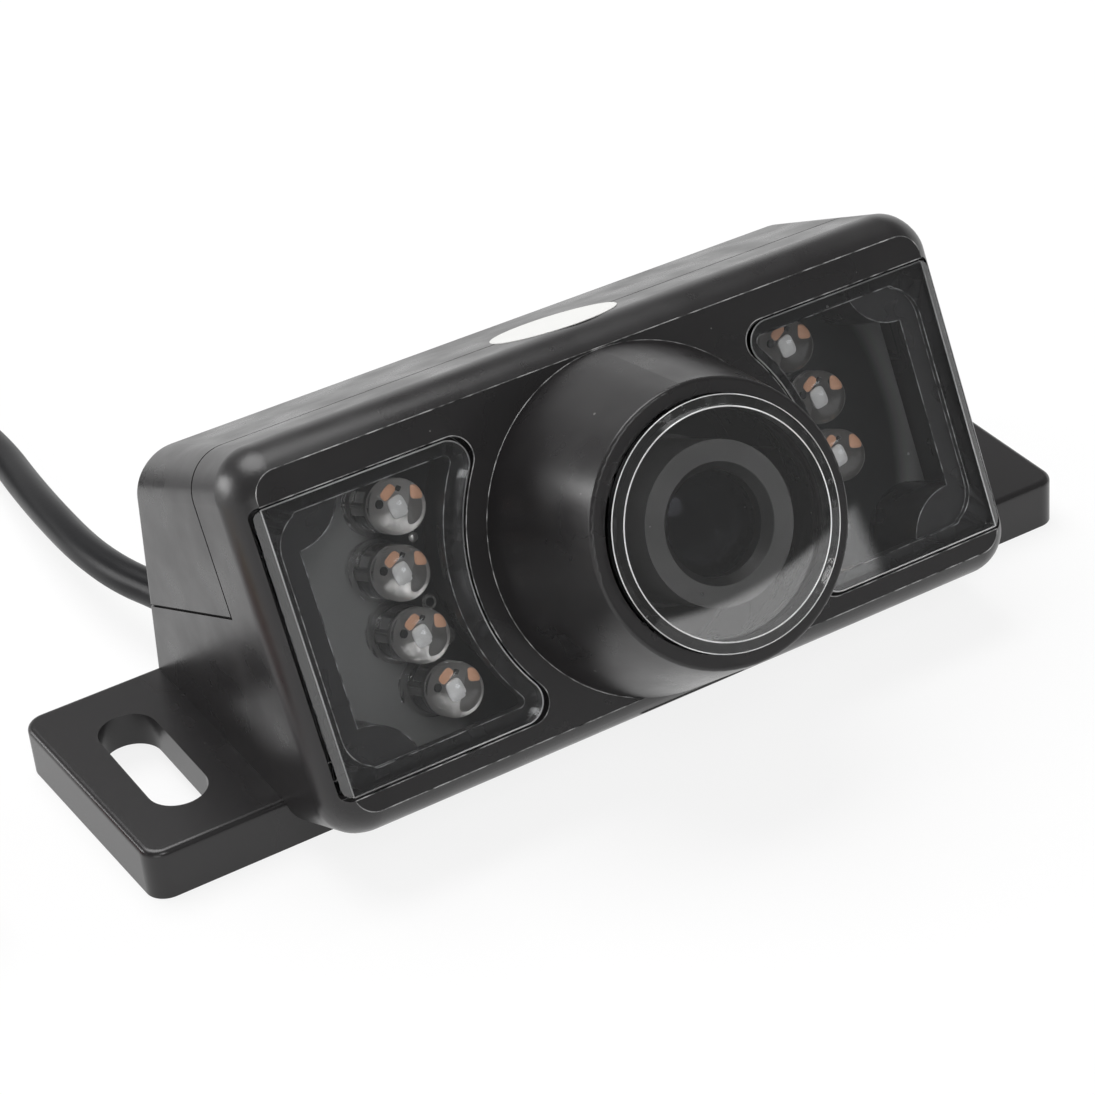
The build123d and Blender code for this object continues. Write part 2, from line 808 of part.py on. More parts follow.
splitter_front = splitter_back - splitter_length
with BuildPart() as splitter:
    with BuildSketch(Plane.XY):
        with Locations((splitter_x, 0)):
            Polygon(
                (-splitter_neck / 2, splitter_back),
                (splitter_neck / 2, splitter_back),
                (splitter_width / 2, splitter_front + splitter_length / 2),
                (splitter_width / 2, splitter_front),
                (-splitter_width / 2, splitter_front),
                (-splitter_width / 2, splitter_front + splitter_length / 2),
                align=None,
            )
    extrude(amount=splitter_thickness)
    fillet(splitter.edges().filter_by(Axis.Z), radius=splitter_edge)
    fillet(splitter.faces().sort_by(Axis.Z).last.edges(), radius=splitter_edge)
    finish(splitter.part, "splitter")

video_tail_points = [
    (splitter_x - tail_spacing / 2, splitter_front, splitter_rest),
    (splitter_x - tail_spacing / 2, 45.0, splitter_rest),
    (video_x, 31.0, video_boot_radius),
    (video_x, socket_back, video_boot_radius),
]
lay_cord("video_tail", tail_diameter, video_tail_points)
power_tail_points = [
    (splitter_x + tail_spacing / 2, splitter_front, splitter_rest),
    (splitter_x + tail_spacing / 2, 45.0, splitter_rest),
    (power_x, 31.0, power_boot_radius),
    (power_x, socket_back, power_boot_radius),
]
lay_cord("power_tail", tail_diameter, power_tail_points)


def boot(name, centre, radius, length, bore, bore_depth):
    """A moulded socket body that lies on the surface, its neck towards the cord and its mouth in front."""
    with BuildPart() as moulding:
        with BuildSketch(Plane(origin=(centre, 0, radius), x_dir=(1, 0, 0), z_dir=(0, 0, 1))):
            with BuildLine():
                Polyline(
                    (0, socket_back),
                    (tail_diameter / 2 + boot_edge, socket_back),
                    (radius, socket_back - boot_neck_length),
                    (radius, socket_back - length),
                    (0, socket_back - length),
                    close=True,
                )
            make_face()
        revolve(axis=Axis((centre, 0, radius), (0, 1, 0)))
        if bore:
            with BuildSketch(Plane.XZ.offset(length - socket_back)):
                with Locations((centre, radius)):
                    Circle(bore)
            extrude(amount=-bore_depth, mode=Mode.SUBTRACT)
        finish(moulding.part, name)


video_mouth = socket_back - video_boot_length
boot("video_boot", video_x, video_boot_radius, video_boot_length, 0, 0)
with BuildPart() as video_shell:
    with BuildSketch(Plane.XZ.offset(-video_mouth)):
        with Locations((video_x, video_boot_radius)):
            Circle(video_shell_radius)
            Circle(video_shell_radius - socket_wall, mode=Mode.SUBTRACT)
    extrude(amount=video_shell_length)
    finish(video_shell.part, "video_shell")
with BuildPart() as video_insulator:
    with BuildSketch(Plane.XZ.offset(-video_mouth)):
        with Locations((video_x, video_boot_radius)):
            Circle(video_shell_radius - socket_wall)
            Circle(contact_radius + socket_wall / 2, mode=Mode.SUBTRACT)
    extrude(amount=video_shell_length - socket_wall)
    finish(video_insulator.part, "video_insulator")
with BuildPart() as video_contact:
    with BuildSketch(Plane.XZ.offset(-video_mouth)):
        with Locations((video_x, video_boot_radius)):
            Circle(contact_radius + socket_wall / 2)
            Circle(contact_radius, mode=Mode.SUBTRACT)
    extrude(amount=video_shell_length - 2 * socket_wall)
    finish(video_contact.part, "video_contact")

power_mouth = socket_back - power_boot_length
boot(
    "power_boot", power_x, power_boot_radius, power_boot_length, power_bore + socket_wall, power_bore_depth
)
with BuildPart() as power_sleeve:
    with BuildSketch(Plane.XZ.offset(-power_mouth)):
        with Locations((power_x, power_boot_radius)):
            Circle(power_bore + socket_wall)
            Circle(power_bore, mode=Mode.SUBTRACT)
    extrude(amount=-power_bore_depth)
    finish(power_sleeve.part, "power_sleeve")
with BuildPart() as power_pin:
    with BuildSketch(Plane.XZ.offset(-power_mouth - power_bore_depth)):
        with Locations((power_x, power_boot_radius)):
            Circle(power_pin_radius)
    extrude(amount=power_bore_depth - 2 * socket_wall)
    finish(power_pin.part, "power_pin")
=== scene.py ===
"""A slanted bar-shaped reversing camera: two lit windows, a conical lens barrel and a coiled lead.

Every piece is in metres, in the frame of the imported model. The sizes and colours that someone
would change are in the property groups; places come from the model's own nodes.
"""
from math import cos, pi, radians, sin

import bmesh
import bpy
from mathutils import Matrix, Quaternion, Vector


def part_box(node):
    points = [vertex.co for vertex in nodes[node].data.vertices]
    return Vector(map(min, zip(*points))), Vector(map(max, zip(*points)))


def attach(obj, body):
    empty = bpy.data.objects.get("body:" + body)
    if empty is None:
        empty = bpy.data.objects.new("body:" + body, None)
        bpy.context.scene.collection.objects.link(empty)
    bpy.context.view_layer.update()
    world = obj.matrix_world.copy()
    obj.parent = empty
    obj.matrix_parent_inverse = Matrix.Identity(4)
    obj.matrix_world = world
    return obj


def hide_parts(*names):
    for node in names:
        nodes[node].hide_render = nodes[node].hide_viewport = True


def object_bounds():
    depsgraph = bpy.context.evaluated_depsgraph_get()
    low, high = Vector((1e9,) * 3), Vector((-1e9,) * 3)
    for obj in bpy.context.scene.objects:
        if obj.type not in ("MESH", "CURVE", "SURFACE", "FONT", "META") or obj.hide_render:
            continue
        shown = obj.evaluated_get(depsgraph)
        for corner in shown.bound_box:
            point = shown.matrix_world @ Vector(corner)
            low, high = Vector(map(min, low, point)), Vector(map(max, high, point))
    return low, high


bl_info = {
    "name": "Reversing camera",
    "version": (1, 0, 0),
    "blender": (4, 5, 0),
    "location": "View3D > Sidebar > Reversing camera",
    "description": "Finishes and fine pieces of a bar-shaped reversing camera",
    "category": "Object",
}

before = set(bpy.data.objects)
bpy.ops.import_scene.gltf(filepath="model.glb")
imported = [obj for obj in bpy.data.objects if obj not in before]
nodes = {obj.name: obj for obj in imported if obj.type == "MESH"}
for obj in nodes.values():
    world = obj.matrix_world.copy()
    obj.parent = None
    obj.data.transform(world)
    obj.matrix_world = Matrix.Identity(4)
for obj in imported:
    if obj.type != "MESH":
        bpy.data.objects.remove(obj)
model_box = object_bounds()
MM = 0.001
SHARP_ANGLE = radians(35)
BLACK = (0.004, 0.004, 0.004, 1)


# ---------------------------------------------------------------- places in the model
def middle(node):
    """The centre of a node's box."""
    low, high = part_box(node)
    return (low + high) / 2


def find_lens_frame():
    """x along the housing, y up the face, z out along the lens axis, from where it meets the face."""
    window = nodes["right_window"].data
    out = max(window.polygons, key=lambda polygon: polygon.area).normal.copy()
    if out.y > 0:
        out.negate()
    up = out.cross(Vector((1, 0, 0)))
    level = max(vertex.co.dot(out) for vertex in window.vertices)
    axis_point = middle("rear_element")
    place = Matrix(((1, 0, 0), up, out)).transposed().to_4x4()
    place.translation = axis_point + out * (level - axis_point.dot(out))
    return place


LENS = find_lens_frame()


def lens_box(node):
    """Lowest and highest corner of a node, measured along the lens frame's own axes."""
    to_lens = LENS.inverted()
    points = [to_lens @ vertex.co for vertex in nodes[node].data.vertices]
    low = Vector([min(point[axis] for point in points) for axis in range(3)])
    high = Vector([max(point[axis] for point in points) for axis in range(3)])
    return low, high


# ---------------------------------------------------------------- node trees
def add_node(tree, kind, inputs=None, **settings):
    """A new node; each input is set to a value, or linked when it is given a socket."""
    made = tree.nodes.new(kind)
    for name, value in settings.items():
        setattr(made, name, value)
    for name, value in (inputs or {}).items():
        socket = made.inputs[name]
        if isinstance(value, bpy.types.NodeSocket):
            tree.links.new(value, socket)
        else:
            socket.default_value = value
    return made


def math_node(tree, operation, first, second=0.0):
    """One step of arithmetic; returns its result."""
    return add_node(tree, "ShaderNodeMath", {0: first, 1: second}, operation=operation).outputs[0]


def ramp_node(tree, value, low, high, to_low=0.0, to_high=1.0):
    """A smooth step of value from low to high; returns its result."""
    made = add_node(
        tree,
        "ShaderNodeMapRange",
        {"Value": value, "From Min": low, "From Max": high, "To Min": to_low, "To Max": to_high},
        interpolation_type="SMOOTHSTEP",
    )
    return made.outputs["Result"]


def mix_colours(tree, factor, first, second):
    """Two colours mixed by factor; returns the colour."""
    inputs = {0: factor, 6: first, 7: second}
    return add_node(tree, "ShaderNodeMix", inputs, data_type="RGBA").outputs[2]


def mix_values(tree, factor, first, second):
    """Two values mixed by factor; returns the value."""
    return add_node(tree, "ShaderNodeMix", {0: factor, 2: first, 3: second}).outputs[0]


def vector_node(tree, operation, first, second=(0, 0, 0)):
    """One step of vector arithmetic; returns the node's outputs."""
    made = add_node(tree, "ShaderNodeVectorMath", {0: first, 1: second}, operation=operation)
    return made.outputs


def new_group(name, inputs, outputs):
    """An empty node group with named inputs, each with its default, and named outputs."""
    tree = bpy.data.node_groups.new(name, "ShaderNodeTree")
    for label, kind, default in inputs:
        socket = tree.interface.new_socket(label, in_out="INPUT", socket_type=kind)
        if default is not None:
            socket.default_value = default
    for label, kind in outputs:
        tree.interface.new_socket(label, in_out="OUTPUT", socket_type=kind)
    return tree, tree.nodes.new("NodeGroupInput").outputs, tree.nodes.new("NodeGroupOutput").inputs


def make_grain():
    """Fine spark-eroded mould grain: its height, and a slow change over the surface."""
    tree, given, result = new_group(
        "mould grain",
        [("Vector", "NodeSocketVector", None), ("Size", "NodeSocketFloat", 0.35 * MM)],
        [("Height", "NodeSocketFloat"), ("Patches", "NodeSocketFloat")],
    )
    scale = math_node(tree, "DIVIDE", 1.0, given["Size"])
    fine = add_node(
        tree,
        "ShaderNodeTexNoise",
        {"Vector": given["Vector"], "Scale": scale, "Detail": 3.0, "Roughness": 0.6},
    )
    slow = add_node(
        tree,
        "ShaderNodeTexNoise",
        {"Vector": given["Vector"], "Scale": math_node(tree, "MULTIPLY", scale, 0.03), "Detail": 3.0},
    )
    tree.links.new(fine.outputs["Fac"], result["Height"])
    tree.links.new(slow.outputs["Fac"], result["Patches"])
    return tree


def make_dust():
    """Sparse pale specks; Share says how many of the cells hold one."""
    tree, given, result = new_group(
        "dust specks",
        [
            ("Vector", "NodeSocketVector", None),
            ("Spacing", "NodeSocketFloat", 1.6 * MM),
            ("Share", "NodeSocketFloat", 0.2),
        ],
        [("Mask", "NodeSocketFloat")],
    )
    cells = add_node(
        tree,
        "ShaderNodeTexVoronoi",
        {"Vector": given["Vector"], "Scale": math_node(tree, "DIVIDE", 1.0, given["Spacing"])},
    )
    chance = add_node(tree, "ShaderNodeSeparateColor", {"Color": cells.outputs["Color"]})
    chosen = math_node(tree, "LESS_THAN", chance.outputs["Red"], given["Share"])
    size = ramp_node(tree, chance.outputs["Green"], 0.0, 1.0, 0.03, 0.085)
    speck = math_node(tree, "LESS_THAN", cells.outputs["Distance"], size)
    tree.links.new(math_node(tree, "MULTIPLY", speck, chosen), result["Mask"])
    return tree


def make_wear():
    """Where an outer edge of this radius has been rubbed, broken up along its length."""
    tree, given, result = new_group(
        "rubbed edges",
        [("Vector", "NodeSocketVector", None), ("Radius", "NodeSocketFloat", 0.25 * MM)],
        [("Mask", "NodeSocketFloat")],
    )
    rounded = add_node(tree, "ShaderNodeBevel", {"Radius": given["Radius"]}, samples=4)
    shape = tree.nodes.new("ShaderNodeNewGeometry")
    turned = vector_node(tree, "DOT_PRODUCT", rounded.outputs["Normal"], shape.outputs["Normal"])
    edge = ramp_node(tree, turned["Value"], 0.985, 0.9)
    broken = add_node(
        tree, "ShaderNodeTexNoise", {"Vector": given["Vector"], "Scale": 700.0, "Detail": 4.0}
    )
    kept = ramp_node(tree, broken.outputs["Fac"], 0.42, 0.66)
    tree.links.new(math_node(tree, "MULTIPLY", edge, kept), result["Mask"])
    return tree


def shared(name, make):
    """A shared node group, made the first time it is asked for."""
    return bpy.data.node_groups.get(name) or make()


class Finish:
    """A new material with its own Principled shader and the object's coordinates."""

    def __init__(self, name, colour, roughness, **plain):
        self.material = bpy.data.materials.new(name)
        self.material.use_nodes = True
        self.tree = self.material.node_tree
        self.shader = self.tree.nodes["Principled BSDF"]
        self.shader.inputs["Base Color"].default_value = (*colour, 1)
        self.shader.inputs["Roughness"].default_value = roughness
        self.material.diffuse_color = (*colour, 1)
        for socket, value in plain.items():
            self.shader.inputs[socket.replace("_", " ")].default_value = value
        self.place = self.tree.nodes.new("ShaderNodeTexCoord").outputs["Object"]

    def group(self, name, make, **inputs):
        """A shared effect, placed in this material."""
        made = self.tree.nodes.new("ShaderNodeGroup")
        made.node_tree = shared(name, make)
        self.tree.links.new(self.place, made.inputs["Vector"])
        for socket, value in inputs.items():
            made.inputs[socket].default_value = value
        return made.outputs

    def drive(self, socket, value):
        """Feed one of the shader's inputs from the tree."""
        self.tree.links.new(value, self.shader.inputs[socket])

    def from_axis(self, sideways=0.0):
        """Distance from the lens axis, or from a line beside it."""
        centre = LENS @ Vector((sideways, 0, 0))
        away = vector_node(self.tree, "SUBTRACT", self.place, centre)["Vector"]
        across = vector_node(self.tree, "CROSS_PRODUCT", away, LENS.col[2].xyz)["Vector"]
        return vector_node(self.tree, "LENGTH", across)["Value"]

    def bump(self, height, depth):
        """Raise the surface by height times depth, in metres."""
        bump = add_node(self.tree, "ShaderNodeBump", {"Height": height, "Distance": depth})
        self.drive("Normal", bump.outputs["Normal"])

    def let_light_through(self, colour):
        """Lamps reach what lies behind this glass."""
        tree = self.tree
        path = tree.nodes.new("ShaderNodeLightPath")
        clear = add_node(tree, "ShaderNodeBsdfTransparent", {"Color": (*colour, 1)})
        mixed = add_node(
            tree,
            "ShaderNodeMixShader",
            {0: path.outputs["Is Shadow Ray"], 1: self.shader.outputs[0], 2: clear.outputs[0]},
        )
        tree.links.new(mixed.outputs[0], tree.nodes["Material Output"].inputs["Surface"])


def grained(name, colour, roughness, size, depth, mottle=0.15, **plain):
    """A finish with a fine grain and a slow change of its colour and gloss."""
    finish = Finish(name, colour, roughness, **plain)
    tree = finish.tree
    grain = finish.group("mould grain", make_grain, Size=size)
    patches = ramp_node(tree, grain["Patches"], 0.3, 0.7)
    dark = tuple(part * (1 - mottle) for part in colour)
    light = tuple(min(1.0, part * (1 + mottle)) for part in colour)
    finish.colour = mix_colours(tree, patches, (*dark, 1), (*light, 1))
    finish.drive("Base Color", finish.colour)
    finish.drive("Roughness", ramp_node(tree, patches, 0, 1, 0.85 * roughness, 1.15 * roughness))
    finish.bump(grain["Height"], depth)
    return finish


def give(material, *names):
    """Put a material on CAD nodes."""
    for name in names:
        mesh = nodes[name].data
        mesh.materials.clear()
        mesh.materials.append(material)


# ---------------------------------------------------------------- mesh and curve helpers
def link_piece(name, data, material):
    """A new piece that rides on the camera."""
    piece = bpy.data.objects.new(name, data)
    bpy.context.scene.collection.objects.link(piece)
    data.materials.append(material)
    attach(piece, "camera")
    return piece


def round_outline(radius, height, thick, tall, steps):
    """(radius, height) points of a small oval section; its middle is at radius and height."""
    turns = [2 * pi * step / steps for step in range(steps)]
    return [(radius + thick * cos(turn), height + tall * sin(turn)) for turn in turns]


def lathe(shape, outline, place, steps=48, closed=False):
    """Add to a bmesh the body of revolution of (radius, height) points about place's z axis."""
    rings = []
    for radius, height in outline:
        if radius == 0:
            rings.append([shape.verts.new(place @ Vector((0, 0, height)))])
            continue
        turns = [2 * pi * step / steps for step in range(steps)]
        rings.append(
            [
                shape.verts.new(place @ Vector((radius * cos(turn), radius * sin(turn), height)))
                for turn in turns
            ]
        )
    pairs = list(zip(rings, rings[1:]))
    if closed:
        pairs.append((rings[-1], rings[0]))
    for inner, outer in pairs:
        for step in range(steps):
            after = (step + 1) % steps
            if len(inner) == 1 and len(outer) == 1:
                break
            if len(inner) == 1:
                shape.faces.new((inner[0], outer[after], outer[step]))
            elif len(outer) == 1:
                shape.faces.new((inner[step], inner[after], outer[0]))
            else:
                shape.faces.new((inner[step], inner[after], outer[after], outer[step]))


def plate(shape, place, width, depth, height):
    """Add to a bmesh a small plate with its middle at place, its edges broken."""
    made = bmesh.ops.create_cube(shape, size=1, matrix=place @ Matrix.Diagonal((width, depth, height, 1)))
    edges = list({edge for vert in made["verts"] for edge in vert.link_edges})
    bmesh.ops.bevel(shape, geom=edges, offset=min(width, depth, height) * 0.2, segments=2, affect="EDGES")


def pebble(shape, place, width, depth, height, steps=32):
    """Add to a bmesh a low rounded pad, between a square and a round one."""
    rings = []
    for share, rise in ((1.0, -0.3), (1.0, 0.3), (0.8, 0.8), (0.45, 1.0)):
        ring = []
        for turn in [2 * pi * step / steps for step in range(steps)]:
            across = abs(cos(turn)) ** 0.55 * (1 if cos(turn) > 0 else -1)
            up = abs(sin(turn)) ** 0.55 * (1 if sin(turn) > 0 else -1)
            corner = Vector((share * across * width / 2, share * up * depth / 2, rise * height))
            ring.append(shape.verts.new(place @ corner))
        rings.append(ring)
    for first, second in zip(rings, rings[1:]):
        for step in range(steps):
            after = (step + 1) % steps
            shape.faces.new((first[step], first[after], second[after], second[step]))
    shape.faces.new(rings[-1])
    shape.faces.new(rings[0][::-1])


def outlines(node, level):
    """The closed outlines of a node's flat parts that face along the lens axis at this level."""
    mesh = nodes[node].data
    out = LENS.col[2].xyz
    to_lens = LENS.inverted()
    sides = {}
    for polygon in mesh.polygons:
        if polygon.normal.dot(out) < 0.999 or abs((to_lens @ polygon.center).z - level) > 0.02 * MM:
            continue
        corners = [mesh.vertices[index].co for index in polygon.vertices]
        corners = [tuple(round(part * 1e6) for part in corner) for corner in corners]
        for first, second in zip(corners, corners[1:] + corners[:1]):
            if sides.pop((second, first), None) is None:
                sides[first, second] = True
    after = {first: second for first, second in sides}
    loops = []
    while after:
        start = point = next(iter(after))
        loop = []
        while point in after:
            loop.append(Vector(point) * 1e-6)
            point = after.pop(point)
        if point == start:
            loops.append(loop)
    return loops


def bead(shape, loop, radius, steps=8):
    """Add to a bmesh a fine round bead along a closed loop that lies square to the lens axis."""
    out = LENS.col[2].xyz
    rings = []
    for before, point, after in zip(loop[-1:] + loop[:-1], loop, loop[1:] + loop[:1]):
        along = (after - before).normalized()
        side = along.cross(out)
        turns = [2 * pi * step / steps for step in range(steps)]
        rings.append(
            [shape.verts.new(point + radius * (cos(turn) * side + sin(turn) * out)) for turn in turns]
        )
    for first, second in zip(rings, rings[1:] + rings[:1]):
        for step in range(steps):
            after = (step + 1) % steps
            shape.faces.new((first[step], first[after], second[after], second[step]))


def to_mesh(name, shape):
    """The bmesh as a mesh with smooth faces and its sharp edges kept."""
    bmesh.ops.recalc_face_normals(shape, faces=shape.faces)
    mesh = bpy.data.meshes.new(name)
    shape.to_mesh(mesh)
    shape.free()
    mesh.shade_smooth()
    mesh.set_sharp_from_angle(angle=SHARP_ANGLE)
    return mesh


def lay_cord(name, points, diameter, material):
    """A round cord along one smooth spline with these points as its control points."""
    curve = bpy.data.curves.new(name, "CURVE")
    curve.dimensions = "3D"
    curve.bevel_depth = diameter / 2
    curve.bevel_resolution = 6
    curve.use_fill_caps = True
    curve.resolution_u = 10
    spline = curve.splines.new("NURBS")
    spline.points.add(len(points) - 1)
    for control, point in zip(spline.points, points):
        control.co = (*point, 1)
    spline.order_u = 3
    spline.use_endpoint_u = True
    return link_piece(name, curve, material)


# ---------------------------------------------------------------- what a user would change
class CableSizes(bpy.types.PropertyGroup):
    diameter: bpy.props.FloatProperty(
        name="Cable diameter",
        description="Main lead, over its jacket",
        default=3.6 * MM,
        unit="LENGTH",
    )
    tail_diameter: bpy.props.FloatProperty(
        name="Tail diameter", description="Each of the two tails", default=2.7 * MM, unit="LENGTH"
    )
    turns: bpy.props.FloatProperty(
        name="Turns", description="Turns of the stored coil, from its right side to its left", default=3.5
    )
    points_a_turn: bpy.props.IntProperty(
        name="Points a turn", description="Control points in each turn of the coil", default=24
    )
    jacket: bpy.props.FloatVectorProperty(
        name="Jacket colour",
        description="Soft black jacket",
        default=(0.007, 0.007, 0.008),
        subtype="COLOR",
    )


class HousingFinish(bpy.types.PropertyGroup):
    plastic: bpy.props.FloatVectorProperty(
        name="Plastic colour",
        description="Moulded black plastic",
        default=(0.012, 0.011, 0.0115),
        subtype="COLOR",
    )
    roughness: bpy.props.FloatProperty(
        name="Roughness", description="Satin of the moulded skin", default=0.29, subtype="FACTOR"
    )
    grain_size: bpy.props.FloatProperty(
        name="Grain size",
        description="Width of one grain of the mould texture",
        default=0.17 * MM,
        unit="LENGTH",
    )
    grain_depth: bpy.props.FloatProperty(
        name="Grain depth", description="Height of that grain", default=0.009 * MM, unit="LENGTH"
    )


class GlassFinish(bpy.types.PropertyGroup):
    window: bpy.props.FloatVectorProperty(
        name="Window colour",
        description="Polished acrylic window",
        default=(0.82, 0.83, 0.84),
        subtype="COLOR",
    )
    lens: bpy.props.FloatVectorProperty(
        name="Lens glass colour",
        description="Cover glass of the lens",
        default=(0.92, 0.92, 0.92),
        subtype="COLOR",
    )


class SealSizes(bpy.types.PropertyGroup):
    radius: bpy.props.FloatProperty(
        name="Seal radius",
        description="Round paper seal over the parting",
        default=6.0 * MM,
        unit="LENGTH",
    )
    sideways: bpy.props.FloatProperty(
        name="Seal place",
        description="Its centre, to the right of the lens",
        default=0.95 * MM,
        unit="LENGTH",
    )
    depth: bpy.props.FloatProperty(
        name="Seal depth", description="Its centre, behind the face", default=9.3 * MM, unit="LENGTH"
    )


class Studio(bpy.types.PropertyGroup):
    lens: bpy.props.FloatProperty(
        name="Focal length", description="Of the view, on a 36 mm wide picture", default=104.566
    )
    place: bpy.props.FloatVectorProperty(
        name="Viewpoint",
        description="Where the view is taken from",
        default=(-0.12064, -0.22342, 0.17257),
        unit="LENGTH",
    )
    aim: bpy.props.FloatVectorProperty(
        name="Aim",
        description="Point at the middle of the view",
        default=(-0.00781, -0.01307, 0.02),
        unit="LENGTH",
    )
    roll: bpy.props.FloatProperty(
        name="Roll",
        description="Turn of the view about its own axis",
        default=radians(-5.677),
        subtype="ANGLE",
    )
    key: bpy.props.FloatProperty(name="Key lamp", description="Large lamp overhead, watts", default=5.2)
    fill: bpy.props.FloatProperty(name="Fill lamp", description="Soft lamp at the left, watts", default=2.2)
    front: bpy.props.FloatProperty(name="Front lamp", description="Lamp over the viewer, watts", default=1.4)
    card: bpy.props.FloatProperty(name="Lit card", description="Extra level of the two cards", default=1.5)
    surround: bpy.props.FloatProperty(
        name="Surround", description="Level of the room above and in front", default=0.3
    )


# ---------------------------------------------------------------- pieces
class SetUpView(bpy.types.Operator):
    """Place the camera that the scene is seen through"""

    bl_idname = "reversing_camera.view"
    bl_label = "View"

    def execute(self, context):
        studio = context.scene.rc_studio
        data = bpy.data.cameras.new("view")
        data.sensor_width = 36
        data.lens = studio.lens
        data.clip_start = 0.01
        view = bpy.data.objects.new("view", data)
        context.scene.collection.objects.link(view)
        place = Vector(studio.place)
        look = (Vector(studio.aim) - place).to_track_quat("-Z", "Y")
        view.rotation_mode = "QUATERNION"
        view.rotation_quaternion = look @ Quaternion((0, 0, 1), studio.roll)
        view.location = place
        context.scene.camera = view
        return {"FINISHED"}


def jacket_finish(cable):
    """Soft satin jacket with a faint unevenness of its gloss."""
    finish = Finish("cable jacket", tuple(cable.jacket), 0.36, Specular_IOR_Level=0.2)
    grain = finish.group("mould grain", make_grain, Size=0.5 * MM)
    finish.drive("Roughness", ramp_node(finish.tree, grain["Patches"], 0.3, 0.7, 0.3, 0.46))
    finish.bump(grain["Height"], 0.01 * MM)
    return finish.material


class LayCable(bpy.types.Operator):
    """Lay the main lead from its gland through the stored coil to the splitter"""

    bl_idname = "reversing_camera.cable"
    bl_label = "Main lead"

    def execute(self, context):
        cable = context.scene.rc_cable
        low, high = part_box("cable_coil")
        section = (high.z - low.z) / 2
        radius = (high.x - low.x) / 2 - section
        centre = (low + high) / 2
        offset = section - cable.diameter / 2
        run = [
            (-30.5, 16.5, 6.5),
            (-30.5, 19.6, 6.5),
            (-34.0, 30.4, 6.1),
            (-33.4, 48.7, 4.6),
            (-30.8, 68.6, 1.9),
            (-33.19, 84.0, 1.9),
        ]
        run_out = [(-75.8, 86.0, 4.2), (-77.0, 76.0, 2.7), (-77.0, 66.0, 2.7)]
        points = [Vector(point) * MM for point in run]
        steps = round(cable.turns * cable.points_a_turn)
        for step in range(steps + 1):
            turned = 2 * pi * step / cable.points_a_turn
            lay = radians(-45) - turned / 4
            away = radius + offset * cos(lay)
            points.append(
                centre + Vector((away * cos(turned), away * sin(turned), offset * sin(lay)))
            )
        points += [Vector(point) * MM for point in run_out]
        lead = lay_cord("main_lead", points, cable.diameter, jacket_finish(cable))
        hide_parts("cable", "cable_coil", "cable_end")
        return {"FINISHED"}


class LayTails(bpy.types.Operator):
    """Lay the two tails from the splitter to their sockets"""

    bl_idname = "reversing_camera.tails"
    bl_label = "Tails"

    def execute(self, context):
        cable = context.scene.rc_cable
        jacket = bpy.data.materials["cable jacket"]
        runs = {
            "video": [(-79.1, 53.0, 2.7), (-79.1, 45.0, 2.7), (-86.0, 31.0, 5.2), (-86.0, 20.0, 5.2)],
            "power": [(-74.9, 53.0, 2.7), (-74.9, 45.0, 2.7), (-69.0, 31.0, 5.5), (-69.0, 20.0, 5.5)],
        }
        for use, run in runs.items():
            points = [Vector(point) * MM for point in run]
            lead = lay_cord(f"{use}_lead", points, cable.tail_diameter, jacket)
            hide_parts(f"{use}_tail")
        return {"FINISHED"}


def moulded(name, colour, roughness, grain_size, grain_depth, dusty=0.1, worn=0.25, gloss=0.5):
    """Moulded plastic with its grain, rubbed edges and a little dust."""
    finish = Finish(name, colour, roughness, Specular_IOR_Level=gloss)
    tree = finish.tree
    grain = finish.group("mould grain", make_grain, Size=grain_size)
    dust = finish.group("dust specks", make_dust, Share=dusty)
    wear = finish.group("rubbed edges", make_wear)
    pale = tuple(min(1.0, 3.5 * part + 0.02) for part in colour)
    rubbed = math_node(tree, "MULTIPLY", wear["Mask"], worn)
    finish.colour = mix_colours(tree, rubbed, (*colour, 1), (*pale, 1))
    dusty = math_node(tree, "MULTIPLY", dust["Mask"], 0.35)
    finish.drive("Base Color", mix_colours(tree, dusty, finish.colour, (0.3, 0.29, 0.28, 1)))
    finish.gloss = ramp_node(tree, grain["Patches"], 0.25, 0.75, roughness - 0.05, roughness + 0.07)
    finish.drive("Roughness", finish.gloss)
    finish.grain = grain["Height"]
    finish.bump(finish.grain, grain_depth)
    return finish


def moulded_finish(*sizes, **settings):
    """The same as a plain material."""
    return moulded(*sizes, **settings).material


class FinishHousing(bpy.types.Operator):
    """Give the housing, its cover and its seals their moulded finish"""

    bl_idname = "reversing_camera.housing"
    bl_label = "Housing"

    def execute(self, context):
        look = context.scene.rc_housing
        plastic = moulded(
            "moulded plastic",
            tuple(look.plastic),
            look.roughness,
            look.grain_size,
            look.grain_depth,
        )
        tree = plastic.tree
        across = add_node(tree, "ShaderNodeSeparateXYZ", {"Vector": plastic.place}).outputs["X"]
        away = math_node(tree, "ABSOLUTE", across)
        body = max(abs(part) for part in (lens_box("right_window")[1].x, lens_box("left_window")[0].x))
        ears = ramp_node(tree, away, body + 1.0 * MM, body + 4.0 * MM)
        plastic.drive("Roughness", mix_values(tree, ears, plastic.gloss, 0.27))
        give(plastic.material, "front_housing", "rear_cover")
        rubber = moulded_finish("seal rubber", (0.008, 0.008, 0.008), 0.65, 0.4 * MM, 0.02 * MM)
        give(rubber, "cover_gasket", "glass_gasket", "cable_gland")
        jacket = moulded_finish("moulded splitter", (0.012, 0.012, 0.013), 0.45, 0.4 * MM, 0.012 * MM)
        give(jacket, "splitter", "coil_tie")
        return {"FINISHED"}


